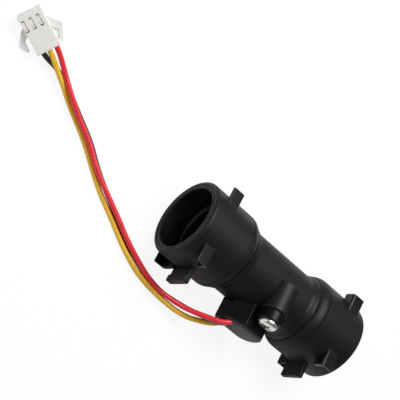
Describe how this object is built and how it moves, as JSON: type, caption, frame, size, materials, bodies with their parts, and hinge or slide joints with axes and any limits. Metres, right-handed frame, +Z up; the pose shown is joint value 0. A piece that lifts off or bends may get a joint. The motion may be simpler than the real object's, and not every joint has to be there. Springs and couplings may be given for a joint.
{
  "type": "water flow sensor",
  "caption": "Inline water flow sensor: black pipe body with a socket at each end, a turbine inside, and a screwed-on potted sensor case with wires to a white plug.",
  "frame": {"origin": "centre of the inlet socket's mouth, on the pipe axis", "axes": "+X along the pipe axis from inlet to outlet, +Z up with the pipe lying level, the sensor case on the -Y side"},
  "size_m": [0.1241, 0.0409, 0.0226],
  "materials": {
    "body_plastic": "matte, fine mould texture",
    "insert_plastic": "satin",
    "bush_plastic": "smooth",
    "rotor_plastic": "satin",
    "magnet": "satin, ground",
    "shaft_steel": "ground",
    "spring_steel": "satin",
    "case_plastic": "glossy",
    "potting_resin": "satin, cured in place",
    "board": "lacquered",
    "chip": "satin",
    "ceramic_part": "satin",
    "screw_steel": "bright plated",
    "wire_black": "smooth",
    "wire_yellow": "smooth",
    "wire_red": "smooth",
    "connector_plastic": "natural, slightly translucent",
    "contact_metal": "tinned"
  },
  "bodies": {
    "root": {"body_housing": "body_plastic", "vane_cage": "insert_plastic", "front_bearing": "bush_plastic", "rear_bearing": "bush_plastic", "rear_support": "insert_plastic", "retaining_ring": "spring_steel", "sensor_case": "case_plastic", "potting": "potting_resin", "sensor_board": "board", "hall_chip": "chip", "bypass_capacitor": "ceramic_part", "pull_up_resistor": "ceramic_part", "cover_screw": "screw_steel", "wire_black": "wire_black", "wire_yellow": "wire_yellow", "wire_red": "wire_red", "connector_housing": "connector_plastic", "terminal_black": "contact_metal", "terminal_yellow": "contact_metal", "terminal_red": "contact_metal"},
    "turbine": {"rotor": "rotor_plastic", "rotor_magnet": "magnet", "rotor_shaft": "shaft_steel"}
  },
  "joints": [
    {"name": "rotor_spin", "type": "hinge", "parent": "root", "child": "turbine", "pos_m": [0.03, 0, 0], "axis": [1, 0, 0], "continuous": true}
  ]
}
